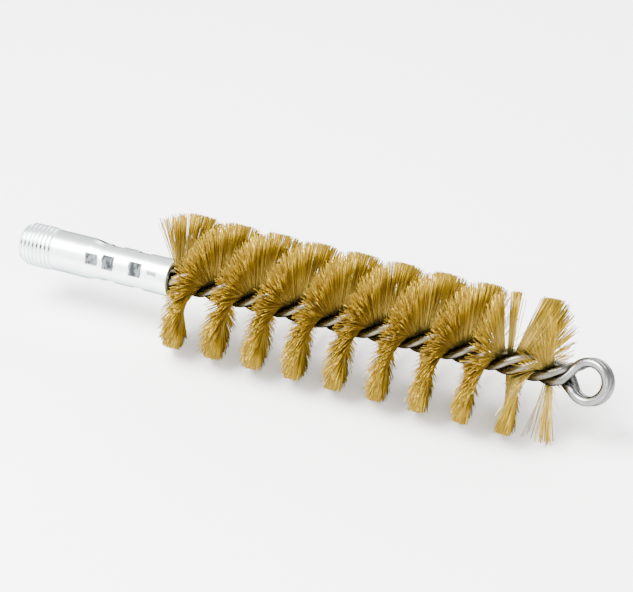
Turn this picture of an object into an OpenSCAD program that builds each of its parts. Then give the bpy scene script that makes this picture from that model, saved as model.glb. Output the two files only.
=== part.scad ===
// Twisted-wire tube cleaning brush: two steel wires are folded at the end
// loop and twisted together, a helical row of brass bristles is held between
// their legs, and a threaded ferrule is crimped over the open end.
//
// Frame: origin at the centre of the threaded end face, +X along the stem to
// the loop, +Z up. Millimetres.

/* [Ferrule] */
// Length from the threaded end face to the mouth
ferrule_len = 52; // [40:1:52]
// Thread diameter over the crests
thread_d = 13.5; // [13:0.1:15]
// Length of the thread
thread_len = 11.8; // [8:0.1:16]
// Length of the lead-in chamfer
thread_chamfer = 0.8; // [0.5:0.1:1]
// Outside diameter of the plain tube behind the thread
tube_d = 12.8; // [12:0.1:13]
// Outside diameter where the tube is swaged on to the stem
swage_d = 11.65; // [11:0.05:12]
// Where the swage starts
swage_from = 23.6; // [20:0.1:26]
// Where the swage reaches its full depth
swage_to = 28; // [27:0.1:29]
// Bore of the tube at the threaded end
tube_bore_d = 9.2; // [8.6:0.1:10]
// Bore of the swaged part, around the stem
swage_bore_d = 8.2; // [8.1:0.05:8.4]
// Depth of the crimp marks below the swaged surface
crimp_depth = 0.45; // [0.2:0.05:0.7]
// Angle of the first mark of each crimp, from +Z towards -Y
crimp_angle = 60; // [0:1:90]

/* [Stem] */
// Diameter of the stem wire
wire_d = 2.85; // [2.5:0.05:2.9]
// Length of one full turn of the left-hand twist
pitch = 27.2; // [26:0.1:32]
// Distance from the axis to the middle of each pair of wires
pair_offset = 1.93; // [1.9:0.01:2.1]
// Half the distance between the two wires of a pair
wire_offset = 1.58; // [1.55:0.01:1.7]
// Where the wires start inside the ferrule
stem_from = 17; // [14:1:22]
// Where the two pairs cross in front of the loop
neck_x = 178.6; // [178:0.1:179]
// Sides of the wire's cross-section
wire_sides = 10; // [8:1:14]
// Twist between two sections of a wire, in degrees
wire_step = 24; // [18:1:30]

/* [End loop] */
// Distance of the loop's centre from the threaded end face
loop_x = 187; // [186:0.1:188]
// Radius of the loop's wire centre line
loop_r = 5.6; // [5.4:0.1:6]
// Direction that the loop faces, from +Z towards -Y
loop_facing = 62; // [50:1:70]
// Skew of the loop about its upright axis
loop_skew = 6; // [0:1:8]
// Half the distance between the wires where they lie side by side
loop_wire_offset = 1.46; // [1.45:0.01:1.6]
// Angle at which each end of the loop runs into the stem
loop_open = 135; // [125:1:145]

/* [Bristles] */
// Radius of the brush over the bristle tips
brush_r = 21; // [16:0.5:24]
// Number of half-turn banks of bristles
banks = 9; // [1:1:9]
// Half the thickness of the bristle layer between the wires
layer_half = 0.34; // [0.3:0.01:0.36]
// Half the width of the row at the stem's surface, along the axis
row_root = 0.35; // [0.2:0.05:0.5]
// Half the width of the row at the tips, along the axis
row_tip = 2.3; // [1:0.1:3]
// Steps of twist along each bank
bank_steps = 10; // [8:1:14]

/* [Hidden] */
$fn = 96;
wire_r = wire_d / 2;
stem_r = norm([pair_offset, wire_offset]) + wire_r;
bank_len = pitch / 2;
// The banks end where the row stands square to one tip facet
bank_end = neck_x - (36.8 / 360) * pitch;
bank_from = bank_end - banks * bank_len;
bank_gap = 0.05;

// ---------------------------------------------------------------- directions
// A radial direction at angle a, from +Z towards -Y
function radial(a) = [0, -sin(a), cos(a)];
// Angle of the bristle layer at x; the twist is left-handed
function layer_angle(x) = loop_facing - 90 + 360 * (neck_x - x) / pitch;
// Direction of the bristles at x, and the direction across their layer
function layer_dir(x) = radial(layer_angle(x));
function across_dir(x) = radial(layer_angle(x) + 90);

function unit(v) = v / norm(v);
function blend(a, b, t) = a * (1 - t) + b * t;
// Cubic curve from p to q with end tangents u and v
function hermite(p, u, q, v, t) =
    p * (2 * pow(t, 3) - 3 * pow(t, 2) + 1) + u * (pow(t, 3) - 2 * pow(t, 2) + t)
    + q * (3 * pow(t, 2) - 2 * pow(t, 3)) + v * (pow(t, 3) - pow(t, 2));

// ------------------------------------------------------------------- ferrule
module tube_of_revolution(outline) {
    rotate([0, 90, 0]) rotate_extrude() polygon([for (p = outline) [p[1], p[0]]]);
}

module crimp_marks(x, angle) {
    for (k = [0:3])
        rotate([angle + 90 * k, 0, 0])
            translate([x - 1.8, -2, swage_d / 2 - crimp_depth])
                cube([3.6, 4, 3]);
}

module threaded_ferrule() {
    color("gainsboro")
    difference() {
        tube_of_revolution([
            [0, tube_bore_d / 2], [0, thread_d / 2 - 1],
            [thread_chamfer, thread_d / 2], [thread_len, thread_d / 2],
            [thread_len, tube_d / 2], [swage_from, tube_d / 2],
            [swage_to, swage_d / 2], [ferrule_len, swage_d / 2],
            [ferrule_len, swage_bore_d / 2], [swage_to, swage_bore_d / 2],
            [swage_from, tube_bore_d / 2]
        ]);
        crimp_marks(31.5, crimp_angle);
        crimp_marks(40.9, crimp_angle);
    }
}

// ---------------------------------------------------------------- stem wires
// Centre of a pair of wires on the straight stem; side is 1 or -1
function pair_at(x, side) = [x, 0, 0] + across_dir(x) * pair_offset * side;

// The loop's own axes: along the stem, upright and facing the viewer
loop_face = unit(radial(loop_facing) * cos(loop_skew) - [1, 0, 0] * sin(loop_skew));
loop_up = -radial(loop_facing + 90);
loop_along = cross(loop_up, loop_face);
loop_centre = [loop_x, 0, 0];
// Point and travel direction of a pair at angle a of the loop
function loop_at(a) = loop_centre + loop_r * (loop_along * cos(a) + loop_up * sin(a));
function loop_dir(a) = loop_along * sin(a) - loop_up * cos(a);
function stem_dir(x, side) = unit(pair_at(x + 0.01, side) - pair_at(x - 0.01, side));

leave_x = neck_x - 0.4;
stem_stations = [
    for (k = [0:floor((leave_x - stem_from) / pitch * 360 / wire_step)])
        leave_x - k * pitch * wire_step / 360
];
run = norm(loop_at(loop_open) - pair_at(leave_x, 1));

// Each entry is a point of the pair's centre and the unit vector to one wire
out_leg = [for (k = [len(stem_stations) - 1:-1:0])
    let (x = stem_stations[k]) [pair_at(x, 1), layer_dir(x) * wire_offset]];
out_turn = [for (k = [1:4]) let (t = k / 5) [
    hermite(pair_at(leave_x, 1), stem_dir(leave_x, 1) * run,
            loop_at(loop_open), loop_dir(loop_open) * run, t),
    unit(blend(layer_dir(leave_x), -loop_face, t)) * blend(wire_offset, loop_wire_offset, t)]];
ring = [for (a = [loop_open:-15:-loop_open]) [loop_at(a), -loop_face * loop_wire_offset]];
back_turn = [for (k = [1:4]) let (t = k / 5) [
    hermite(loop_at(-loop_open), loop_dir(-loop_open) * run,
            pair_at(leave_x, -1), -stem_dir(leave_x, -1) * run, t),
    unit(blend(-loop_face, layer_dir(leave_x), t)) * blend(loop_wire_offset, wire_offset, t)]];
back_leg = [for (x = stem_stations) [pair_at(x, -1), layer_dir(x) * wire_offset]];
pair_path = concat(out_leg, out_turn, ring, back_turn, back_leg);

// Centre line of one wire; side is 1 for the far wire and -1 for the near one
function wire_path(side) = [for (p = pair_path) p[0] + p[1] * side];

// Solid round wire along a list of points, with closed ends
module round_wire(path) {
    n = len(path);
    last = n - 1;
    tangents = [for (i = [0:last]) unit(path[min(i + 1, last)] - path[max(i - 1, 0)])];
    normals = [for (i = [0:last])
        let (out = pair_path[i][1], t = tangents[i]) unit(out - t * (out * t))];
    points = [for (i = [0:last], k = [0:wire_sides - 1])
        let (a = 360 * k / wire_sides)
        path[i] + wire_r * (normals[i] * cos(a) + cross(tangents[i], normals[i]) * sin(a))];
    skin = [for (i = [0:last - 1], k = [0:wire_sides - 1])
        let (k2 = (k + 1) % wire_sides)
        each [[i * wire_sides + k, (i + 1) * wire_sides + k, (i + 1) * wire_sides + k2],
              [i * wire_sides + k, (i + 1) * wire_sides + k2, i * wire_sides + k2]]];
    caps = [[for (k = [0:wire_sides - 1]) k],
            [for (k = [wire_sides - 1:-1:0]) last * wire_sides + k]];
    polyhedron(points, concat(skin, caps));
}

module stem_wire_near() { color("silver") round_wire(wire_path(-1)); }
module stem_wire_far() { color("silver") round_wire(wire_path(1)); }

// ------------------------------------------------------------------ bristles
// Stations across the row, from one tip through the stem to the other
row_stations = [
    -brush_r, -0.7 * brush_r, -0.42 * brush_r, -stem_r - 0.6, -stem_r + 0.2, 0,
    stem_r - 0.2, stem_r + 0.6, 0.42 * brush_r, 0.7 * brush_r, brush_r
];
// Half-width of the row along the axis at radius r; none inside the stem
function row_half(r) = r < stem_r ? 0
    : row_root + (row_tip - row_root) * (r - stem_r) / (brush_r - stem_r);
// One surface point of the row; side is 1 or -1, across the layer
function row_point(x, r, side) =
    [x + side * sign(r) * row_half(abs(r)), 0, 0]
    + layer_dir(x) * r + across_dir(x) * side * layer_half;

module bristle_bank(index) {
    from = bank_from + (index - 1) * bank_len + bank_gap;
    xs = [for (k = [0:bank_steps]) from + k * (bank_len - 2 * bank_gap) / bank_steps];
    cols = len(row_stations);
    rows = len(xs);
    upper = [for (x = xs, r = row_stations) row_point(x, r, 1)];
    lower = [for (x = xs, r = row_stations) row_point(x, r, -1)];
    half = rows * cols;
    quads = [for (i = [0:rows - 2], j = [0:cols - 2]) [i * cols + j, i * cols + j + 1,
        (i + 1) * cols + j + 1, (i + 1) * cols + j]];
    edge = concat(
        [for (j = [0:cols - 2]) j],
        [for (i = [0:rows - 2]) i * cols + cols - 1],
        [for (j = [cols - 1:-1:1]) (rows - 1) * cols + j],
        [for (i = [rows - 1:-1:1]) i * cols]);
    m = len(edge);
    faces = concat(
        [for (q = quads) each [[q[0], q[1], q[2]], [q[0], q[2], q[3]]]],
        [for (q = quads) each [[half + q[2], half + q[1], half + q[0]],
                               [half + q[3], half + q[2], half + q[0]]]],
        [for (k = [0:m - 1]) let (a = edge[k], b = edge[(k + 1) % m])
            each [[b, a, half + a], [b, half + a, half + b]]]);
    color("goldenrod") polyhedron(concat(upper, lower), faces);
}

threaded_ferrule();
stem_wire_near();
stem_wire_far();
bristle_bank(1);  // bristle_bank_1
bristle_bank(2);  // bristle_bank_2
bristle_bank(3);  // bristle_bank_3
bristle_bank(4);  // bristle_bank_4
bristle_bank(5);  // bristle_bank_5
bristle_bank(6);  // bristle_bank_6
bristle_bank(7);  // bristle_bank_7
bristle_bank(8);  // bristle_bank_8
bristle_bank(9);  // bristle_bank_9
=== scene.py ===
"""Twisted-wire tube brush: a threaded, crimped ferrule, two stem wires folded round a pull
loop, and nine banks of brass bristles, with a pale floor, soft lights and a camera."""
import math

import bpy
import numpy as np
from bpy.props import (
    FloatProperty, FloatVectorProperty, IntProperty, PointerProperty,
)
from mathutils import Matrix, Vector


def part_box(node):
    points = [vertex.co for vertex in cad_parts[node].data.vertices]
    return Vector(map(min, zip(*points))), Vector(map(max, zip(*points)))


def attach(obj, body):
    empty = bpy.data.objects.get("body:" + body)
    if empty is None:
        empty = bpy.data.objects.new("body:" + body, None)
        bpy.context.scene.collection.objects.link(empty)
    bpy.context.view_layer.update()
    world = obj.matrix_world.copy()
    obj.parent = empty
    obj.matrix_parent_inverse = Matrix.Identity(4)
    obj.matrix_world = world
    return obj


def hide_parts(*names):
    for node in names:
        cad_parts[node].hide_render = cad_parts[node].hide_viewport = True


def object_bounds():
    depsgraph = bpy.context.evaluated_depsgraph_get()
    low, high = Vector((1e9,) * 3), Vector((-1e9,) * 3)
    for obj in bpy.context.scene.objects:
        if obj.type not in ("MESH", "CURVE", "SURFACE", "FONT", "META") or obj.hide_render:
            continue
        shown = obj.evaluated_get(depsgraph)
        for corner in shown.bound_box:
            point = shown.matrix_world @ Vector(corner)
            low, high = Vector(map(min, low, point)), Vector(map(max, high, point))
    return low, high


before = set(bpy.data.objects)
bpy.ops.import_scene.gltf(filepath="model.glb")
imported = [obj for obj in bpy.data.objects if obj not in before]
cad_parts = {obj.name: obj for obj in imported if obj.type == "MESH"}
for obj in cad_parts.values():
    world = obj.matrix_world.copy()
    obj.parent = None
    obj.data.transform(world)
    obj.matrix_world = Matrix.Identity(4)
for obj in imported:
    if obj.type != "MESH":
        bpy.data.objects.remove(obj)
BOUNDS_AT_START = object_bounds()

bl_info = {
    "name": "Twisted Wire Tube Brush",
    "version": (1, 0, 0),
    "blender": (4, 5, 0),
    "location": "3D View > Sidebar > Tube Brush",
    "description": "Builds a brass tube brush with a threaded ferrule and a pull loop",
    "category": "Add Mesh",
}

MM = 0.001
BODY = "root"
BANKS = sorted(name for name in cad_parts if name.startswith("bristle_bank_"))

# ------------------------------------------------------------- sizes read from the frame
BANK_BOXES = [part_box(name) for name in BANKS]
FERRULE_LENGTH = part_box("threaded_ferrule")[1].x
BANK_LENGTH = BANK_BOXES[1][0].x - BANK_BOXES[0][0].x
BRUSH_RADIUS = max(
    max(abs(low.y), abs(low.z), high.y, high.z) for low, high in BANK_BOXES)


# ------------------------------------------------------------------- sizes and finishes
class FerruleSizes(bpy.types.PropertyGroup):
    """Sizes of the threaded ferrule."""
    thread_pitch: FloatProperty(
        name="Thread pitch", description="Distance between two crests of the thread",
        default=25.4 * MM / 18, unit="LENGTH")
    thread_length: FloatProperty(
        name="Thread length", description="Length of the thread from the end face",
        default=11.8 * MM, unit="LENGTH")
    thread_depth: FloatProperty(
        name="Thread depth", description="Height of a crest above its root",
        default=0.70 * MM, unit="LENGTH")
    tube_radius: FloatProperty(
        name="Tube radius", description="Radius of the plain tube behind the thread",
        default=6.4 * MM, unit="LENGTH")
    swage_radius: FloatProperty(
        name="Swage radius", description="Radius where the tube is squeezed on the stem",
        default=5.825 * MM, unit="LENGTH")
    swage_from: FloatProperty(
        name="Swage start", description="Where the tube starts to narrow",
        default=23.6 * MM, unit="LENGTH")
    swage_to: FloatProperty(
        name="Swage end", description="Where the tube has its narrow size",
        default=28.0 * MM, unit="LENGTH")
    bore_radius: FloatProperty(
        name="Bore radius", description="Radius of the tube's bore at the thread",
        default=4.6 * MM, unit="LENGTH")
    mouth_radius: FloatProperty(
        name="Mouth radius", description="Radius of the bore round the stem",
        default=4.1 * MM, unit="LENGTH")
    crimp_depth: FloatProperty(
        name="Crimp depth", description="Depth of the crimp marks",
        default=0.5 * MM, unit="LENGTH")
    crimp_angle: FloatProperty(
        name="Crimp angle", description="Angle of the first crimp mark, from +Z to -Y",
        default=math.radians(60), unit="ROTATION")
    # Painted shade in the thread grooves: the side where it is darkest and the angle it
    # covers
    dirt_angle: FloatProperty(
        name="Groove shade angle", description="Side of the thread where the grooves have the most painted shade",
        default=math.radians(60), unit="ROTATION")
    groove_shade_width: FloatProperty(
        name="Groove shade width", description="Angle that the painted shade in the grooves covers",
        default=math.radians(9), unit="ROTATION")


class StemSizes(bpy.types.PropertyGroup):
    """Sizes of the twisted stem and its loop."""
    wire_radius: FloatProperty(
        name="Wire radius", description="Radius of the stem wire",
        default=1.425 * MM, unit="LENGTH")
    pair_offset: FloatProperty(
        name="Pair offset", description="From the axis to the middle of a wire pair",
        default=1.93 * MM, unit="LENGTH")
    wire_offset: FloatProperty(
        name="Wire offset", description="Half the distance between a pair's wires",
        default=1.53 * MM, unit="LENGTH")
    neck_x: FloatProperty(
        name="Neck", description="Where the two pairs cross in front of the loop",
        default=178.6 * MM, unit="LENGTH")
    start_x: FloatProperty(
        name="Wire start", description="Where the wires start inside the ferrule",
        default=17.0 * MM, unit="LENGTH")
    loop_x: FloatProperty(
        name="Loop centre", description="Distance of the loop's centre from the thread end",
        default=187.0 * MM, unit="LENGTH")
    loop_radius: FloatProperty(
        name="Loop radius", description="Radius of the loop's centre line",
        default=5.6 * MM, unit="LENGTH")
    loop_wire_offset: FloatProperty(
        name="Loop wire offset", description="Half the distance between the loop's wires",
        default=1.44 * MM, unit="LENGTH")
    loop_facing: FloatProperty(
        name="Loop facing", description="Direction that the loop faces, from +Z to -Y",
        default=math.radians(62), unit="ROTATION")
    loop_skew: FloatProperty(
        name="Loop skew", description="Turn of the loop about its upright axis",
        default=math.radians(6), unit="ROTATION")
    loop_open: FloatProperty(
        name="Loop opening", description="Angle where the loop runs into the stem",
        default=math.radians(135), unit="ROTATION")


class BristleSizes(bpy.types.PropertyGroup):
    """Sizes and scatter of the bristle row."""
    filament_radius: FloatProperty(
        name="Filament radius", description="Radius of one brass filament",
        default=0.105 * MM, unit="LENGTH")
    per_bank: IntProperty(
        name="Filaments in a bank", description="Half filaments in each half turn",
        default=1900, min=10)
    lean: FloatProperty(
        name="Lean", description="Slope of the outermost filaments along the stem",
        default=0.105)
    scatter: FloatProperty(
        name="Scatter", description="Random slope added to every filament",
        default=0.024)
    clump: FloatProperty(
        name="Clump", description="Slope that neighbouring filaments share",
        default=0.06)


class BrushFinish(bpy.types.PropertyGroup):
    """Colours of the brush."""
    zinc: FloatVectorProperty(
        name="Zinc", description="Zinc plating of the ferrule",
        subtype="COLOR", size=3, default=(0.95, 0.99, 0.99))
    steel: FloatVectorProperty(
        name="Steel", description="Drawn steel of the stem wires",
        subtype="COLOR", size=3, default=(0.21, 0.215, 0.21))
    brass: FloatVectorProperty(
        name="Brass", description="Bright brass of the filaments",
        subtype="COLOR", size=3, default=(0.455, 0.312, 0.021))
    brass_dark: FloatVectorProperty(
        name="Dark brass", description="Tarnished brass of the filaments",
        subtype="COLOR", size=3, default=(0.270, 0.170, 0.018))


class StudioSizes(bpy.types.PropertyGroup):
    """Camera and light."""
    azimuth: FloatProperty(
        name="Azimuth", description="Camera's turn from the front towards +X",
        default=math.radians(25.79), unit="ROTATION")
    elevation: FloatProperty(
        name="Elevation", description="Camera's height above the horizon",
        default=math.radians(30.58), unit="ROTATION")
    distance: FloatProperty(
        name="Distance", description="Distance from the camera to the point it looks at",
        default=0.75, unit="LENGTH")
    lens: FloatProperty(
        name="Lens", description="Focal length for a 36 mm wide sensor, in millimetres",
        default=142.84)
    aim: FloatVectorProperty(
        name="Aim", description="Point that the camera looks at, from the box's centre",
        subtype="XYZ", size=3, default=(1.99 * MM, 2.53 * MM, 4.56 * MM))
    backdrop: FloatVectorProperty(
        name="Backdrop", description="Colour of the floor",
        subtype="COLOR", size=3, default=(0.93, 0.93, 0.92))


# ------------------------------------------------------------------------- node writing
class Socket:
    """One output of a node tree; arithmetic on it adds Math nodes."""

    def __init__(self, graph, link):
        self.graph = graph
        self.link = link

    def math(self, operation, *others):
        return self.graph.add("ShaderNodeMath", {"operation": operation},
                              {i: v for i, v in enumerate((self, *others))})

    def __add__(self, other):
        return self.math("ADD", other)

    def __sub__(self, other):
        return self.math("SUBTRACT", other)

    def __mul__(self, other):
        return self.math("MULTIPLY", other)

    def __truediv__(self, other):
        return self.math("DIVIDE", other)

    def __pow__(self, other):
        return self.math("POWER", other)

    def __rsub__(self, other):
        return self.graph.add("ShaderNodeMath", {"operation": "SUBTRACT"},
                              {0: other, 1: self})

    __radd__ = __add__
    __rmul__ = __mul__

    def sin(self):
        return self.math("SINE")

    def cos(self):
        return self.math("COSINE")

    def step(self, low, high):
        """0 below low and 1 above high, smooth between."""
        return self.graph.add(
            "ShaderNodeMapRange", {"interpolation_type": "SMOOTHSTEP"},
            {"Value": self, "From Min": low, "From Max": high})


class Graph:
    """Writes nodes into a node tree."""

    def __init__(self, tree):
        self.tree = tree

    def add(self, kind, settings=None, values=None, output=0):
        """Adds a node: its settings first, then the values or links of its sockets."""
        node = self.tree.nodes.new(kind)
        for key, value in (settings or {}).items():
            setattr(node, key, value)
        for key, value in (values or {}).items():
            socket = node.inputs[key]
            if isinstance(value, Socket):
                self.tree.links.new(value.link, socket)
            else:
                socket.default_value = value
        return Socket(self, node.outputs[output]) if node.outputs else None

    def outputs(self, kind, values=None):
        """Adds a node and returns all of its outputs by name."""
        node = self.add(kind, None, values).link.node
        return {s.name: Socket(self, s) for s in node.outputs if s.name}

    def attribute(self, name):
        """A number stored on the surface."""
        return self.add("ShaderNodeAttribute", {"attribute_name": name}, output=2)

    def object_place(self):
        return self.add("ShaderNodeTexCoord", output=3)

    def store(self, geometry, name, value, domain="POINT", kind="FLOAT"):
        return self.add("GeometryNodeStoreNamedAttribute",
                        {"data_type": kind, "domain": domain},
                        {"Geometry": geometry, "Name": name, "Value": value})

    def vector(self, x, y, z):
        return self.add("ShaderNodeCombineXYZ", None, {0: x, 1: y, 2: z})

    def vector_math(self, operation, a, b=None, scale=None):
        values = {0: a}
        if b is not None:
            values[1] = b
        if scale is not None:
            values["Scale"] = scale
        return self.add("ShaderNodeVectorMath", {"operation": operation}, values)

    def mix(self, factor, a, b):
        """Colour a where factor is 0 and b where it is 1."""
        sockets = {0: factor, 6: a, 7: b}
        values = {k: (*v, 1.0) if isinstance(v, (tuple, list)) else v
                  for k, v in sockets.items()}
        return self.add("ShaderNodeMix", {"data_type": "RGBA"}, values, output=2)

    def noise(self, vector, scale, detail=3.0, roughness=0.5):
        return self.add("ShaderNodeTexNoise", None,
                        {"Vector": vector, "Scale": scale, "Detail": detail,
                         "Roughness": roughness})


def new_material(name, **constants):
    """An empty Principled material; returns the material, its graph and its shader."""
    material = bpy.data.materials.new(name)
    material.use_nodes = True
    shader = material.node_tree.nodes["Principled BSDF"]
    for key, value in constants.items():
        shader.inputs[key.replace("_", " ")].default_value = value
    return material, Graph(material.node_tree), shader


def new_tree(name, **inputs):
    """An empty geometry tree with named inputs; returns its graph and its entry sockets."""
    tree = bpy.data.node_groups.new(name, "GeometryNodeTree")
    tree.is_modifier = True
    for key, kind in {"Geometry": "Geometry", **inputs}.items():
        tree.interface.new_socket(key.replace("_", " "), in_out="INPUT",
                                  socket_type="NodeSocket" + kind)
    tree.interface.new_socket("Geometry", in_out="OUTPUT",
                              socket_type="NodeSocketGeometry")
    g = Graph(tree)
    return g, g.outputs("NodeGroupInput")


def close_tree(g, geometry, finish):
    """Ends a geometry tree in plain mesh with its material."""
    solid = g.add("GeometryNodeRealizeInstances", None, {"Geometry": geometry})
    solid = g.add("GeometryNodeSetMaterial", None, {"Geometry": solid, "Material": finish})
    g.add("NodeGroupOutput", None, {"Geometry": solid})
    return g.tree


def feed(graph, shader, **links):
    for key, value in links.items():
        graph.tree.links.new(value.link, shader.inputs[key.replace("_", " ")])


# ---------------------------------------------------------------------------- materials
# Stations along the stem where the painted shade on the wire changes, from the loop to the
# bristles
LOOP_CLEAR, NECK_TO, BRISTLES_CLOSE = 183.5 * MM, 177.5 * MM, 173.0 * MM
NECK_FULL, NECK_FROM = 171.0 * MM, 163.0 * MM


def zinc_plate(finish):
    """Bright zinc plating: faint cloudy patches, fine drawing lines, painted shade in
    blue-green streaks along the tube, painted shade in the thread grooves and the bore, and
    darker crimp marks."""
    material, g, shader = new_material("zinc_plate", Metallic=1.0,
                                       Specular_Tint=(0.0, 0.06, 0.06, 1.0))
    place = g.object_place()
    clouds = g.noise(place, 260.0, 4.0, 0.6)
    fine = g.noise(g.vector_math("MULTIPLY", place, (300.0, 2400.0, 2400.0)), 1.0, 2.0)
    scrape = g.noise(g.vector_math("MULTIPLY", place, (1000.0, 500.0, 500.0)), 1.0, 2.0)
    hollow_shade_and_crimp_dark, streak_shade = g.attribute("hollow_shade_and_crimp_dark"), g.attribute("streak_shade")
    dull = tuple(0.93 * c for c in finish.zinc)
    dull_patch_and_streak_shade, hollow, deep_shade_and_crimp_dark = (0.36, 0.50, 0.49), (0.60, 0.76, 0.77), (0.03, 0.032, 0.034)
    base = g.mix(clouds.step(0.42, 0.68), tuple(finish.zinc), dull)
    # Painted shade: blue-green streaks along the tube
    base = g.mix(streak_shade * (0.60 + 0.55 * clouds), base, dull_patch_and_streak_shade)
    # Painted shade in the thread grooves and the bore, pale blue-green and then near black
    # where deepest; the crimp marks darken the same way
    base = g.mix(hollow_shade_and_crimp_dark.step(0.0, 0.35) * 0.55, base, hollow)
    deep_shade_and_crimp_share = hollow_shade_and_crimp_dark.step(0.12, 0.95) * (0.84 + 0.16 * scrape.step(0.35, 0.62))
    base = g.mix(deep_shade_and_crimp_share, base, deep_shade_and_crimp_dark)
    rough = 0.24 + 0.16 * clouds + 0.25 * hollow_shade_and_crimp_dark
    height = fine * 0.35 + clouds * 0.65
    bump = g.add("ShaderNodeBump", None,
                 {"Strength": 0.12, "Distance": 0.0001, "Height": height})
    feed(g, shader, Base_Color=base, Roughness=rough, Normal=bump)
    return material


def drawn_steel(finish):
    """Drawn spring wire: fine lines along it, painted shade in the creases between its turns,
    and painted shade with a warm painted brass reflection where the bristles stand round it,
    darkest at the neck."""
    material, g, shader = new_material("drawn_steel", Metallic=1.0,
                                       Specular_Tint=(0.0, 0.0, 0.0, 1.0))
    along = g.attribute("along")
    around = g.attribute("around")
    lines_at = g.vector(along * 3.0, around.sin() * 9.0, around.cos() * 9.0)
    lines = g.noise(lines_at, 2.2, 3.0, 0.6)
    place = g.object_place()
    dull_patch_and_streak_shade = g.noise(place, 420.0, 3.0, 0.6)
    crease = g.attribute("crease")
    x = g.add("ShaderNodeSeparateXYZ", None, {0: place})
    dull = tuple(0.60 * c for c in finish.steel)
    crease_shade, bristle_shade_and_brass_reflection = (0.075, 0.075, 0.062), (0.125, 0.105, 0.05)
    neck_shade_grey = (0.045, 0.045, 0.04)
    base = g.mix(dull_patch_and_streak_shade.step(0.40, 0.70) * 0.6 + lines.step(0.45, 0.75) * 0.4,
                 tuple(finish.steel), dull)
    # Painted shade in the creases where the wires touch
    base = g.mix(crease.step(0.25, 1.0) * 0.80, base, crease_shade)
    # Painted shade with a warm painted brass reflection along the stem under the bristles
    base = g.mix(x.step(LOOP_CLEAR, BRISTLES_CLOSE) * 0.60, base, bristle_shade_and_brass_reflection)
    # Darker painted shade on the stem next to the end of the bristles
    neck_shade = x.step(LOOP_CLEAR, NECK_TO) * x.step(NECK_FROM, NECK_FULL)
    base = g.mix(neck_shade * 0.35, base, neck_shade_grey)
    rough = 0.17 + 0.12 * dull_patch_and_streak_shade + 0.07 * lines
    bump = g.add("ShaderNodeBump", None,
                 {"Strength": 0.2, "Distance": 0.00008, "Height": lines})
    feed(g, shader, Base_Color=base, Roughness=rough, Normal=bump)
    return material


def brass_filament(finish):
    """Brass wire: every filament its own tone, with painted shade at its root and at some
    tips, and painted light over its inner part.
    """
    material, g, shader = new_material("brass_filament", Metallic=0.94,
                                       Specular_Tint=(0.80, 0.56, 0.16, 1.0))
    shade = g.attribute("shade")
    reach = g.attribute("reach")
    bright, painted_inner_light = (0.74, 0.52, 0.08), (0.67, 0.52, 0.14)
    tip_shade, root = (0.21, 0.135, 0.025), (0.14, 0.115, 0.035)
    base = g.mix(shade.step(0.12, 0.95), tuple(finish.brass), tuple(finish.brass_dark))
    base = g.mix(shade.step(0.10, 0.02), base, bright)
    # Painted light: the inner part of each filament is lighter and paler
    base = g.mix(reach.step(0.80, 0.40) * 0.60, base, painted_inner_light)
    # Painted shade on some filament tips
    shaded_tip = reach.step(0.84, 0.97) * (shade * 7.0).math("FRACT").step(0.25, 0.60)
    base = g.mix(shaded_tip * 0.75, base, tip_shade)
    # Painted shade near the root of each filament
    base = g.mix(reach.step(0.36, 0.06) * 0.92, base, root)
    rough = 0.42 + 0.14 * shade + 0.14 * shaded_tip
    feed(g, shader, Base_Color=base, Roughness=rough)
    return material


def pale_floor(colour):
    """Seamless paper."""
    material, g, shader = new_material("pale_floor", Roughness=0.85)
    place = g.object_place()
    grain = g.noise(place, 900.0, 2.0)
    tint = tuple(0.985 * c for c in colour)
    feed(g, shader, Base_Color=g.mix(grain, tuple(colour), tint))
    return material


# ------------------------------------------------------------------------ shared shapes
def radial(angle):
    """Unit vectors square to the stem, from +Z towards -Y."""
    angle = np.asarray(angle, float)
    return np.stack([0 * angle, -np.sin(angle), np.cos(angle)], -1)


def smooth(t):
    t = np.clip(t, 0.0, 1.0)
    return t * t * (3 - 2 * t)


def unit(v):
    return v / np.linalg.norm(v, axis=-1, keepdims=True)


def mesh_piece(name, points, faces, material):
    mesh = bpy.data.meshes.new(name)
    mesh.from_pydata([tuple(p) for p in points], [], faces)
    mesh.shade_smooth()
    mesh.materials.append(material)
    piece = bpy.data.objects.new(name, mesh)
    bpy.context.scene.collection.objects.link(piece)
    return piece


def point_attribute(piece, name, values):
    layer = piece.data.attributes.new(name, "FLOAT", "POINT")
    layer.data.foreach_set("value", np.asarray(values, np.float32).ravel())


def mount_on_frame(piece, nodes):
    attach(piece, BODY)
    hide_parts(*nodes)


# ------------------------------------------------------------------------------ ferrule
RING_POINTS = 160
THREAD_STEP, SWAGE_STEP, PLAIN_STEP = 0.10 * MM, 0.22 * MM, 0.70 * MM
RIM_RADIUS, RIM_STEPS = 0.3 * MM, 6
BORE_CHAMFER, MOUTH_CHAMFER, THREAD_BACK = 0.3 * MM, 0.2 * MM, 12 * MM
CREST_RADIUS, TAPER = 6.56 * MM, 1 / 32
ROOT_FLAT, FLANK = 0.05, 0.55
SINK_TURNS, FADE_TURNS = 3.5, 0.6
NOSE_RADIUS, NOSE_SLOPE = 5.7 * MM, 0.62
MOUTH_SWELL, MOUTH_FROM, MOUTH_OVER = 0.10 * MM, 45 * MM, 6 * MM
GROOVE_SHADE, BORE_SHADE = 0.30, 0.5
CRIMP_SKEW, CRIMP_WAVE, CRIMP_WAVELENGTH = 0.10, 0.12 * MM, 0.5 * MM
CRIMP_EDGE_ALONG, CRIMP_EDGE_ROUND, CRIMP_DARK_DEPTH = 0.5 * MM, 0.35 * MM, 0.08 * MM
# Crimp marks in millimetres: place, half length, half height, share of the depth, darkening
CRIMP_STATIONS = (
    (25.7, 2.1, 1.9, 0.60, 0.90), (31.3, 2.05, 2.4, 1.0, 1.0),
    (40.8, 2.15, 2.4, 1.0, 1.0), (46.7, 1.8, 0.75, 0.20, 0.70),
)


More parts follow.
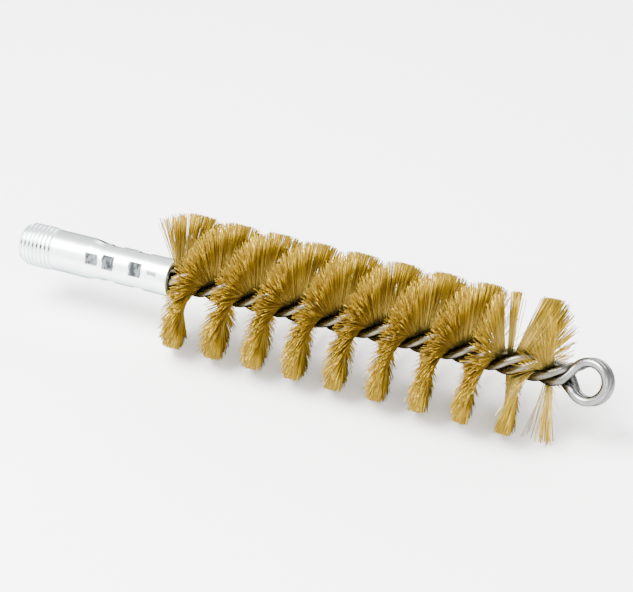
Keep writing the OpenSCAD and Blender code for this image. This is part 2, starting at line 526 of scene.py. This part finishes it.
def ferrule_radius(s, x, angle):
    """Outer radius of the ferrule at x and angle, and how much painted shade and crimp
    darkening it has there.
    """
    turn = x / s.thread_pitch - angle / (2 * math.pi)
    wave = np.abs(2 * (turn - np.floor(turn)) - 1)
    ridge = np.clip((wave - ROOT_FLAT) / FLANK, 0, 1)
    # The crests sink to the tube over the last turns, and the groove runs out
    to_end = (x - s.thread_length) / s.thread_pitch
    sink = smooth(1 + to_end / SINK_TURNS)
    fade = smooth(1 + to_end / FADE_TURNS)
    crest = (CREST_RADIUS + TAPER * x) * (1 - sink) + s.tube_radius * sink
    threaded = crest - s.thread_depth * (1 - fade) * (1 - ridge)
    threaded = np.minimum(threaded, NOSE_RADIUS + x * NOSE_SLOPE)
    narrow = smooth((x - s.swage_from) / (s.swage_to - s.swage_from))
    plain = s.tube_radius + (s.swage_radius - s.tube_radius) * narrow
    plain = plain + MOUTH_SWELL * smooth((x - MOUTH_FROM) / MOUTH_OVER)
    on_thread = x < s.thread_length
    r = np.where(on_thread, threaded, plain)
    # Painted shade: every groove is a little darker, and much darker on one side
    off = (angle - s.dirt_angle + math.pi) % (2 * math.pi) - math.pi
    groove_shade_spots = np.clip(1.5 * (1 - ridge), 0, 1) * np.exp(-(off / s.groove_shade_width) ** 2)
    groove_shade = np.maximum(GROOVE_SHADE * (1 - ridge), groove_shade_spots) * (1 - fade)
    hollow_shade_and_crimp_dark = np.where(on_thread, groove_shade, 0.0)
    # Four jaws press each crimp; a mark is a shallow flat with a soft, uneven edge
    local = (angle - s.crimp_angle + math.pi / 4) % (math.pi / 2) - math.pi / 4
    height = local * s.swage_radius
    for place, half_length, half_height, share, darkening in CRIMP_STATIONS:
        flat = (plain - s.crimp_depth * share) / np.cos(local)
        middle = place * MM + CRIMP_SKEW * height
        middle = middle + CRIMP_WAVE * np.sin(height / CRIMP_WAVELENGTH)
        edge = smooth((half_length * MM - np.abs(x - middle)) / CRIMP_EDGE_ALONG + 0.3)
        edge = edge * smooth(
            (half_height * MM - np.abs(height)) / CRIMP_EDGE_ROUND + 0.3)
        pressed = np.where(on_thread, 0.0, np.clip(plain - flat, 0, None) * edge)
        r = np.where(on_thread, r, np.minimum(r, plain - pressed))
        # Each crimp mark is darker where it is pressed deeper
        hollow_shade_and_crimp_dark = np.maximum(hollow_shade_and_crimp_dark, edge * darkening * smooth(pressed / CRIMP_DARK_DEPTH))
    return r, hollow_shade_and_crimp_dark


# Streaks of blue-green painted shade along the tube: middle and half width in degrees,
# strength
SHADE_STREAKS = ((127, 40, 0.65), (-30, 22, 0.3), (238, 34, 0.5))
STREAK_SWAY, STREAK_WAVELENGTH, STREAK_RAMP = 0.06, 4 * MM, 1.3


def streak_shade_share(x, angle):
    """How much blue-green painted shade the plating has at x and angle."""
    share = 0 * angle
    for middle, half_width, strength in SHADE_STREAKS:
        at = math.radians(middle) + STREAK_SWAY * np.sin(x / STREAK_WAVELENGTH)
        off = np.abs((angle - at + math.pi) % (2 * math.pi) - math.pi)
        ramp = smooth(STREAK_RAMP * (1 - off / math.radians(half_width)))
        share = np.maximum(share, strength * ramp)
    return share


def lathe_grid(profile, segments):
    """Points and faces of a closed ring-shaped shell; profile gives (x, radius) arrays."""
    angles = np.linspace(0, 2 * math.pi, segments, endpoint=False)
    points = []
    for x, radii in profile:
        ring = radial(angles) * np.broadcast_to(radii, angles.shape)[:, None]
        ring[:, 0] = x
        points.append(ring)
    rows = len(profile)
    faces = []
    for i in range(rows):
        a, b = i * segments, ((i + 1) % rows) * segments
        for k in range(segments):
            k2 = (k + 1) % segments
            faces.append((a + k, a + k2, b + k2, b + k))
    return np.concatenate(points), faces


class BRUSH_OT_ferrule(bpy.types.Operator):
    """Builds the ferrule: tapered pipe thread, plain tube, swage and crimp marks."""
    bl_idname = "tube_brush.ferrule"
    bl_label = "Ferrule"

    def execute(self, context):
        s = context.scene.tube_brush_ferrule
        angles = np.linspace(0, 2 * math.pi, RING_POINTS, endpoint=False)
        xs = np.concatenate([
            np.arange(0, s.thread_length + 0.5 * THREAD_STEP, THREAD_STEP),
            np.arange(s.thread_length + THREAD_STEP, s.swage_from, PLAIN_STEP),
            np.arange(s.swage_from, FERRULE_LENGTH - RIM_RADIUS, SWAGE_STEP),
        ])
        profile, hollow_shade_and_crimp_dark = [], []
        for x in xs:
            r, darkening = ferrule_radius(s, np.full(RING_POINTS, x), angles)
            profile.append((x, r))
            hollow_shade_and_crimp_dark.append(darkening)
        rim = profile[-1][1]
        for k in range(1, RIM_STEPS + 1):
            a = k / RIM_STEPS * math.pi / 2
            profile.append((FERRULE_LENGTH - RIM_RADIUS * (1 - math.sin(a)),
                            rim - RIM_RADIUS * (1 - math.cos(a))))
            hollow_shade_and_crimp_dark.append(np.zeros(RING_POINTS))
        inside = [(FERRULE_LENGTH, s.mouth_radius + MOUTH_CHAMFER),
                  (FERRULE_LENGTH - MOUTH_CHAMFER, s.mouth_radius),
                  (s.swage_to, s.mouth_radius), (s.swage_from, s.bore_radius),
                  (THREAD_BACK, s.bore_radius), (BORE_CHAMFER, s.bore_radius),
                  (0.0, s.bore_radius + BORE_CHAMFER)]
        for x, r in inside:
            profile.append((x, r))
            # Painted shade inside the bore
            hollow_shade_and_crimp_dark.append(np.full(RING_POINTS, BORE_SHADE))
        points, faces = lathe_grid(profile, RING_POINTS)
        piece = mesh_piece("ferrule_shell", points, faces,
                           zinc_plate(context.scene.tube_brush_finish))
        point_attribute(piece, "hollow_shade_and_crimp_dark", np.concatenate(hollow_shade_and_crimp_dark))
        streak_shade = [streak_shade_share(x, angles) for x, _ in profile]
        point_attribute(piece, "streak_shade", np.concatenate(streak_shade))
        mount_on_frame(piece, ["threaded_ferrule"])
        return {"FINISHED"}


# ---------------------------------------------------------------------------- stem wires
LEG_POINTS, LEAD_POINTS, LOOP_POINTS = 340, 12, 72
WIRE_SIDES = 20
LEAD_LENGTH = 0.4 * MM
CREASE_REACH = 0.9


def layer_angle(s, x):
    return s.loop_facing - math.pi / 2 + math.pi * (s.neck_x - x) / BANK_LENGTH


def pair_point(s, x, side):
    x = np.asarray(x, float)
    p = radial(layer_angle(s, x) + math.pi / 2) * s.pair_offset * side
    p[..., 0] = x
    return p


def hermite(p, u, q, v, t):
    t = t[:, None]
    return (p * (2 * t ** 3 - 3 * t ** 2 + 1) + u * (t ** 3 - 2 * t ** 2 + t)
            + q * (3 * t ** 2 - 2 * t ** 3) + v * (t ** 3 - t ** 2))


def pair_path(s):
    """Centre line of the wire pair, out along the stem, round the loop and back, and the
    unit vector from it to the far wire times half their distance."""
    face = radial(s.loop_facing) * math.cos(s.loop_skew)
    face[0] = -math.sin(s.loop_skew)
    up = -radial(s.loop_facing + math.pi / 2)
    along = np.cross(up, face)
    centre = np.array([s.loop_x, 0, 0])
    leave = s.neck_x - LEAD_LENGTH

    def loop_at(a):
        a = np.asarray(a, float)[..., None]
        return centre + s.loop_radius * (along * np.cos(a) + up * np.sin(a))

    def loop_way(a):
        return along * math.sin(a) - up * math.cos(a)

    def stem_way(side):
        step = 0.01 * MM
        return unit(pair_point(s, leave + step, side) - pair_point(s, leave - step, side))

    out_x = np.linspace(s.start_x, leave, LEG_POINTS)
    t = np.linspace(0, 1, LEAD_POINTS + 2)[1:-1]
    run = np.linalg.norm(loop_at(s.loop_open) - pair_point(s, leave, 1))
    turn = np.linspace(s.loop_open, -s.loop_open, LOOP_POINTS)
    sideways = radial(layer_angle(s, leave))
    lead_out = hermite(pair_point(s, leave, 1), stem_way(1) * run,
                       loop_at(s.loop_open), loop_way(s.loop_open) * run, t)
    lead_back = hermite(loop_at(-s.loop_open), loop_way(-s.loop_open) * run,
                        pair_point(s, leave, -1), -stem_way(-1) * run, t)
    share = t[:, None]
    width = s.wire_offset + (s.loop_wire_offset - s.wire_offset) * share
    side_out = unit(sideways * (1 - share) - face * share) * width
    leg = radial(layer_angle(s, out_x)) * s.wire_offset
    points = np.concatenate([pair_point(s, out_x, 1), lead_out, loop_at(turn),
                             lead_back, pair_point(s, out_x[::-1], -1)])
    side_loop = np.tile(-face * s.loop_wire_offset, (LOOP_POINTS, 1))
    sides = np.concatenate([leg, side_out, side_loop, side_out[::-1], leg[::-1]])
    return points, sides


def wire_sweep_tree():
    """Node tree that sweeps a round section along a chain of edges."""
    g, entry = new_tree("wire_sweep", Radius="Float", Sides="Int", Finish="Material")
    line = g.add("GeometryNodeMeshToCurve", None, {"Mesh": entry["Geometry"]})
    length = g.add("GeometryNodeSplineParameter", output="Length")
    line = g.store(line, "along", length * 1000.0)
    ring = g.add("GeometryNodeCurvePrimitiveCircle", {"mode": "RADIUS"},
                 {"Resolution": entry["Sides"], "Radius": entry["Radius"]})
    factor = g.add("GeometryNodeSplineParameter", output="Factor")
    ring = g.store(ring, "around", factor * (2 * math.pi))
    tube = g.add("GeometryNodeCurveToMesh", None,
                 {"Curve": line, "Profile Curve": ring, "Fill Caps": True})
    tube = g.add("GeometryNodeSetShadeSmooth", None, {"Geometry": tube})
    return close_tree(g, tube, entry["Finish"])


def grown(name, tree, base, inputs):
    """Runs a node tree on a base mesh and returns the result as a plain mesh piece."""
    seed = bpy.data.objects.new(name + "_seed", base)
    bpy.context.scene.collection.objects.link(seed)
    modifier = seed.modifiers.new("nodes", "NODES")
    modifier.node_group = tree
    sockets = {s.name: s.identifier for s in tree.interface.items_tree
               if s.in_out == "INPUT"}
    for key, value in inputs.items():
        modifier[sockets[key]] = value
    bpy.context.view_layer.update()
    graph = bpy.context.evaluated_depsgraph_get()
    mesh = bpy.data.meshes.new_from_object(seed.evaluated_get(graph))
    mesh.name = name
    seed.modifiers.clear()
    bpy.data.objects.remove(seed)
    piece = bpy.data.objects.new(name, mesh)
    bpy.context.scene.collection.objects.link(piece)
    return piece


def nearest(points, line, parts=24):
    """Distance from every point to the nearest point of a line, worked out in parts."""
    blocks = np.array_split(points, parts)
    return np.concatenate([
        np.linalg.norm(block[:, None] - line[None], axis=-1).min(1) for block in blocks])


def crease_share(points, own, other, radius):
    """1 where a wire's skin touches a neighbour, 0 where it is well clear of all."""
    legs = np.stack([nearest(points, own[:LEG_POINTS]), nearest(points, own[-LEG_POINTS:])])
    gap = np.minimum(nearest(points, other), legs.max(0)) - radius
    return 1 - smooth(gap / (CREASE_REACH * radius))


class BRUSH_OT_stem(bpy.types.Operator):
    """Builds the two wires, each out along the stem, round the loop and back."""
    bl_idname = "tube_brush.stem"
    bl_label = "Stem wires and loop"

    def execute(self, context):
        s = context.scene.tube_brush_stem
        finish = drawn_steel(context.scene.tube_brush_finish)
        tree = wire_sweep_tree()
        points, sides = pair_path(s)
        chain = [(i, i + 1) for i in range(len(points) - 1)]
        for name, side in (("stem_wire_near", -1), ("stem_wire_far", 1)):
            own, other = points + sides * side, points - sides * side
            line = bpy.data.meshes.new(name + "_line")
            line.from_pydata([tuple(p) for p in own], chain, [])
            piece = grown(name + "_swept", tree, line,
                          {"Radius": s.wire_radius, "Sides": WIRE_SIDES, "Finish": finish})
            skin = np.empty(3 * len(piece.data.vertices))
            piece.data.vertices.foreach_get("co", skin)
            crease = crease_share(skin.reshape(-1, 3), own, other, s.wire_radius)
            point_attribute(piece, "crease", crease)
            mount_on_frame(piece, [name])
        return {"FINISHED"}


# ------------------------------------------------------------------------------ bristles
# The state of the two rows along the stem, in millimetres from the thread end: place, share
# of the filaments kept, mean slope along the stem, mean tilt round it, share of the lean,
# extra scatter
UP_ROW = (
    (53.4, 0.95, -0.12, 0.0, 1.0, 0.015), (54.3, 0.95, -0.08, 0.0, 1.0, 0.02),
    (55.6, 1.0, -0.02, 0.0, 1.0, 0.01), (57.0, 1.0, 0.0, 0.0, 1.0, 0.0),
    (158.4, 1.0, 0.0, 0.0, 1.0, 0.0), (159.6, 1.1, -0.06, -0.3, 0.7, 0.0),
    (161.0, 1.2, -0.20, -0.8, 0.3, 0.0), (161.2, 0.03, -0.10, 0.0, 0.5, 0.0),
    (161.8, 0.03, -0.05, 0.0, 0.5, 0.0), (161.9, 1.4, -0.05, -0.60, 0.15, -0.02),
    (162.6, 1.4, -0.05, -0.50, 0.15, -0.02), (162.7, 0.08, 0.10, 0.0, 0.5, 0.0),
    (163.0, 0.15, 0.15, 0.0, 0.8, 0.0), (163.1, 1.5, 0.34, -0.35, 0.15, -0.02),
    (164.6, 1.5, 0.40, -0.10, 0.2, -0.02), (164.8, 0.75, 0.33, 0.0, 0.6, 0.02),
    (167.5, 0.70, 0.23, 0.0, 0.8, 0.03), (170.0, 0.55, 0.12, 0.0, 1.0, 0.035),
    (172.5, 0.50, 0.04, 0.0, 1.0, 0.03), (173.3, 0.20, 0.0, 0.0, 1.0, 0.04),
    (173.8, 0.30, 0.06, -0.9, 1.4, 0.09), (176.0, 0.38, 0.0, -1.0, 1.4, 0.09),
)
DOWN_ROW = (
    (53.4, 0.8, -0.05, 0.0, 1.0, 0.01), (56.0, 1.0, 0.0, 0.0, 1.0, 0.0),
    (152.0, 1.0, 0.0, 0.0, 1.0, 0.0), (153.6, 0.95, -0.05, 0.0, 0.8, 0.0),
    (154.2, 0.06, 0.0, 0.0, 1.0, 0.0), (158.6, 0.06, 0.0, 0.0, 1.0, 0.0),
    (159.8, 0.90, 0.0, 0.0, 1.0, 0.0), (166.4, 1.0, 0.0, 0.0, 1.0, 0.0),
    (167.2, 0.50, 0.0, 0.0, 1.0, 0.02), (168.0, 0.08, 0.0, 0.0, 1.0, 0.05),
    (172.0, 0.05, 0.0, 0.0, 1.0, 0.05), (172.4, 0.45, 0.05, 0.0, 1.0, 0.05),
    (173.2, 0.30, 0.06, 0.0, 1.0, 0.06), (176.0, 0.50, 0.06, 0.0, 1.0, 0.06),
)
ROW_STATE = ("keep", "slope", "tilt", "fan", "splay")
ROOT_FROM, ROOT_TO = 0.4 * MM, 1.4 * MM
HALF_LAYER = 0.33 * MM
RIBBON_STEPS = 136
# How far a filament's tip bows sideways, in filament radii
TIP_BOW = 2.0
UNEVEN_LENGTH, UNEVEN_THICKNESS = 0.006, 0.15
# Thin and thick patches of the row, and the clumps that neighbours lean in, in waves per
# metre along the stem and across it
PATCH_ALONG, PATCH_ACROSS, PATCH_SPREAD, PATCH_LEAST = 260.0, 90.0, 1.3, 0.35
CLUMP_ALONG, CLUMP_ACROSS = 420.0, 1500.0
# The lean of the filaments that stand sideways, and what upright ones add to it
FAN_SIDE, FAN_TOP = 1.1, 0.25


def filament_mesh(segments=4, sides=3):
    """One filament along +Z: unit length, unit radius, slightly bowed, with a cut tip."""
    points, faces = [], []
    for i in range(segments + 1):
        t = i / segments
        bow = TIP_BOW * t * t
        for k in range(sides):
            a = 2 * math.pi * k / sides
            points.append((math.cos(a) + bow, math.sin(a), t))
    for i in range(segments):
        for k in range(sides):
            k2 = (k + 1) % sides
            a, b = i * sides, (i + 1) * sides
            faces.append((a + k, a + k2, b + k2, b + k))
    faces.append(tuple(segments * sides + k for k in range(sides)))
    faces.append(tuple(range(sides - 1, -1, -1)))
    mesh = bpy.data.meshes.new("filament")
    mesh.from_pydata(points, [], faces)
    mesh.shade_smooth()
    layer = mesh.attributes.new("reach", "FLOAT", "POINT")
    layer.data.foreach_set("value", [p[2] for p in points])
    return bpy.data.objects.new("filament", mesh)


def layer_ribbon(name, stem, start):
    """The layer of filaments that the wires hold along one bank, as two ribbons that carry
    the state of their row."""
    xs = start + np.linspace(0, BANK_LENGTH, RIBBON_STEPS + 1)
    out = radial(layer_angle(stem, xs))
    axis = np.stack([xs, 0 * xs, 0 * xs], -1)
    points, faces, state = [], [], []
    for row, side in ((DOWN_ROW, 1), (UP_ROW, -1)):
        table = np.array(row)
        for reach in (ROOT_FROM, ROOT_TO):
            points.append(axis + out * side * reach)
            state.append([np.interp(xs / MM, table[:, 0], column) for column in table.T[1:]])
        a = 2 * len(faces) // RIBBON_STEPS * (RIBBON_STEPS + 1)
        b = a + RIBBON_STEPS + 1
        faces += [(a + i, a + i + 1, b + i + 1, b + i) for i in range(RIBBON_STEPS)]
    mesh = bpy.data.meshes.new(name)
    mesh.from_pydata([tuple(p) for p in np.concatenate(points)], [], faces)
    state = np.concatenate(state, 1)
    for key, values in zip(ROW_STATE, state):
        layer = mesh.attributes.new(key, "FLOAT", "POINT")
        layer.data.foreach_set("value", values.astype(np.float32))
    return mesh


def bristle_tree():
    """Node tree that stands filaments on a ribbon of the layer between the wires."""
    g, entry = new_tree(
        "bristle_row", Density="Float", Layer="Float", Brush_radius="Float",
        Filament_radius="Float", Lean="Float", Scatter="Float", Clump="Float",
        Seed="Int", Filament="Object", Finish="Material")
    draws = [0]

    def draw(low, high):
        """A random number for every filament."""
        draws[0] += 1
        return g.add("FunctionNodeRandomValue", {"data_type": "FLOAT"},
                     {"Min": low, "Max": high,
                      "Seed": entry["Seed"] * 40.0 + float(draws[0])}, output=1)

    def bell():
        """A random number near 0, spread like a bell."""
        return draw(-1.0, 1.0) + draw(-1.0, 1.0) + draw(-1.0, 1.0)

    def state(name, kind="FLOAT"):
        """What the row's state says at this filament."""
        return g.add("GeometryNodeInputNamedAttribute", {"data_type": kind},
                     {"Name": name})

    place = g.add("GeometryNodeInputPosition")
    x, y, z = g.outputs("ShaderNodeSeparateXYZ", {0: place}).values()
    patches = g.noise(
        g.vector(x * PATCH_ALONG, y * PATCH_ACROSS, z * PATCH_ACROSS), 1.0, 2.0)
    thinned = state("keep") * (patches * PATCH_SPREAD + PATCH_LEAST)
    cloud = g.add("GeometryNodeDistributePointsOnFaces", {"distribute_method": "RANDOM"},
                  {"Mesh": entry["Geometry"], "Seed": entry["Seed"],
                   "Density": entry["Density"] * thinned})
    root_r = (y * y + z * z) ** 0.5
    out = g.vector(0.0, y / root_r, z / root_r)
    across = g.vector(0.0, 0.0 - z / root_r, y / root_r)
    shared = g.noise(
        g.vector(x * CLUMP_ALONG, y * CLUMP_ACROSS, z * CLUMP_ACROSS), 1.0, 2.0) - 0.5
    fan = state("fan") * (FAN_SIDE + FAN_TOP * z / root_r)
    slope = (draw(-1.0, 1.0) * entry["Lean"] * fan + bell() * entry["Scatter"]
             + shared * entry["Clump"] * state("fan") + state("slope")
             + bell() * state("splay"))
    tilt = bell() * entry["Scatter"] + state("tilt")
    turned_out = g.vector_math("NORMALIZE", g.vector_math(
        "ADD", out, g.vector_math("SCALE", across, scale=tilt)))
    way = g.vector_math("ADD", turned_out, g.vector(slope, 0.0, 0.0))
    reach = (entry["Brush radius"] - root_r) * (1.0 + bell() * UNEVEN_LENGTH)
    length = g.add("ShaderNodeVectorMath", {"operation": "LENGTH"}, {0: way},
                   output="Value") * reach
    root = g.vector_math("SCALE", across, scale=draw(-1.0, 1.0) * entry["Layer"])
    cloud = g.store(cloud, "length", length)
    cloud = g.store(cloud, "way", way, kind="FLOAT_VECTOR")
    cloud = g.add("GeometryNodeSetPosition", None, {"Geometry": cloud, "Offset": root})
    upright = g.add("FunctionNodeAlignRotationToVector", {"axis": "Z"},
                    {"Vector": state("way", "FLOAT_VECTOR")})
    spin = g.add("FunctionNodeAxisAngleToRotation", None,
                 {"Axis": (0.0, 0.0, 1.0), "Angle": draw(0.0, 2 * math.pi)})
    turned = g.add("FunctionNodeRotateRotation", {"rotation_space": "LOCAL"},
                   {"Rotation": upright, "Rotate By": spin})
    filament = g.add("GeometryNodeObjectInfo", None, {"Object": entry["Filament"]},
                     output="Geometry")
    thick = entry["Filament radius"] * draw(1 - UNEVEN_THICKNESS, 1 + UNEVEN_THICKNESS)
    row = g.add("GeometryNodeInstanceOnPoints", None,
                {"Points": cloud, "Instance": filament, "Rotation": turned,
                 "Scale": g.vector(thick, thick, state("length"))})
    row = g.store(row, "shade", draw(0.0, 1.0), domain="INSTANCE")
    return close_tree(g, row, entry["Finish"])


class BRUSH_OT_bristles(bpy.types.Operator):
    """Builds the row of brass filaments, one piece for each bank."""
    bl_idname = "tube_brush.bristles"
    bl_label = "Bristle banks"

    def execute(self, context):
        s = context.scene.tube_brush_bristles
        stem = context.scene.tube_brush_stem
        finish = brass_filament(context.scene.tube_brush_finish)
        tree = bristle_tree()
        filament = filament_mesh()
        for index, node in enumerate(BANKS):
            low, high = BANK_BOXES[index]
            start = (low.x + high.x - BANK_LENGTH) / 2
            ribbon = layer_ribbon(node, stem, start)
            per_metre = s.per_bank / (2 * BANK_LENGTH)
            piece = grown(node + "_filaments", tree, ribbon, {
                "Density": per_metre / (ROOT_TO - ROOT_FROM), "Layer": HALF_LAYER,
                "Brush radius": BRUSH_RADIUS, "Filament radius": s.filament_radius,
                "Lean": s.lean, "Scatter": s.scatter, "Clump": s.clump,
                "Seed": index + 1, "Filament": filament, "Finish": finish})
            for key in (*ROW_STATE, "way", "length"):
                piece.data.attributes.remove(piece.data.attributes[key])
            mount_on_frame(piece, [node])
        bpy.data.objects.remove(filament)
        return {"FINISHED"}


# -------------------------------------------------------------------------------- studio
FLOOR_HALF = 3.0
SENSOR_WIDTH, CLIP_START = 36.0, 0.01
SKY_STRENGTH = 1.35
# Soft boxes: name, place from the middle of the brush, size, power in watts
LIGHTS = (
    ("key", (-0.25, -0.35, 0.75), (0.55, 0.55), 46.0),
    ("fill", (0.55, -0.75, 0.35), (0.8, 0.6), 10.0),
    ("front", (-0.42, -0.86, 0.32), (1.0, 0.6), 7.0),
    ("rim", (0.1, 0.8, 0.5), (0.9, 0.5), 12.0),
)


def soft_box(name, target, offset, size, power):
    """A white area light that stands at an offset from its target and faces it."""
    light = bpy.data.lights.new(name, "AREA")
    light.shape = "RECTANGLE"
    light.size, light.size_y = size
    light.energy = power
    lamp = bpy.data.objects.new(name, light)
    place = target + Vector(offset)
    lamp.location = place
    lamp.rotation_euler = (target - place).to_track_quat("-Z", "Y").to_euler()
    bpy.context.scene.collection.objects.link(lamp)


class BRUSH_OT_studio(bpy.types.Operator):
    """Sets up the pale floor, the soft lights and the camera."""
    bl_idname = "tube_brush.studio"
    bl_label = "Studio"

    def execute(self, context):
        s = context.scene.tube_brush_studio
        low, high = BOUNDS_AT_START
        middle = (Vector(low) + Vector(high)) / 2
        corners = [(FLOOR_HALF * i, FLOOR_HALF * j, low[2])
                   for i, j in ((-1, -1), (1, -1), (1, 1), (-1, 1))]
        floor = mesh_piece("floor", corners, [(0, 1, 2, 3)], pale_floor(s.backdrop))
        aim = middle + Vector(s.aim)
        back = Vector((math.sin(s.azimuth) * math.cos(s.elevation),
                       -math.cos(s.azimuth) * math.cos(s.elevation),
                       math.sin(s.elevation)))
        lens = bpy.data.cameras.new("camera")
        lens.lens = s.lens
        lens.sensor_width = SENSOR_WIDTH
        lens.clip_start = CLIP_START
        camera = bpy.data.objects.new("camera", lens)
        camera.location = aim + back * s.distance
        camera.rotation_euler = (-back).to_track_quat("-Z", "Y").to_euler()
        context.scene.collection.objects.link(camera)
        context.scene.camera = camera
        for name, offset, size, power in LIGHTS:
            soft_box(name, middle, offset, size, power)
        world = bpy.data.worlds.new("studio")
        world.use_nodes = True
        sky = world.node_tree.nodes["Background"]
        sky.inputs["Color"].default_value = (1.0, 1.0, 1.0, 1.0)
        sky.inputs["Strength"].default_value = SKY_STRENGTH
        context.scene.world = world
        return {"FINISHED"}


# --------------------------------------------------------------------------- add-on frame
class BRUSH_PT_panel(bpy.types.Panel):
    """Sidebar panel with the brush's sizes and its builders."""
    bl_label = "Tube Brush"
    bl_idname = "BRUSH_PT_panel"
    bl_space_type = "VIEW_3D"
    bl_region_type = "UI"
    bl_category = "Tube Brush"

    def draw(self, context):
        for title, group, operators in STEPS:
            box = self.layout.box()
            box.label(text=title)
            sizes = getattr(context.scene, group)
            for key in sizes.__annotations__:
                box.prop(sizes, key)
            for name in operators:
                box.operator(name)


GROUPS = (
    ("tube_brush_ferrule", FerruleSizes), ("tube_brush_stem", StemSizes),
    ("tube_brush_bristles", BristleSizes), ("tube_brush_finish", BrushFinish),
    ("tube_brush_studio", StudioSizes),
)
STEPS = (
    ("Ferrule", "tube_brush_ferrule", ("tube_brush.ferrule",)),
    ("Stem", "tube_brush_stem", ("tube_brush.stem",)),
    ("Bristles", "tube_brush_bristles", ("tube_brush.bristles",)),
    ("Finish", "tube_brush_finish", ()),
    ("Studio", "tube_brush_studio", ("tube_brush.studio",)),
)
CLASSES = tuple(group for _, group in GROUPS) + (
    BRUSH_OT_ferrule, BRUSH_OT_stem, BRUSH_OT_bristles, BRUSH_OT_studio, BRUSH_PT_panel)


def register():
    for cls in CLASSES:
        bpy.utils.register_class(cls)
    for name, group in GROUPS:
        setattr(bpy.types.Scene, name, PointerProperty(type=group))


def unregister():
    for name, _ in GROUPS:
        delattr(bpy.types.Scene, name)
    for cls in reversed(CLASSES):
        bpy.utils.unregister_class(cls)


def main():
    register()
    bpy.ops.tube_brush.studio()
    bpy.ops.tube_brush.ferrule()
    bpy.ops.tube_brush.stem()
    bpy.ops.tube_brush.bristles()


if __name__ == "__main__":
    main()
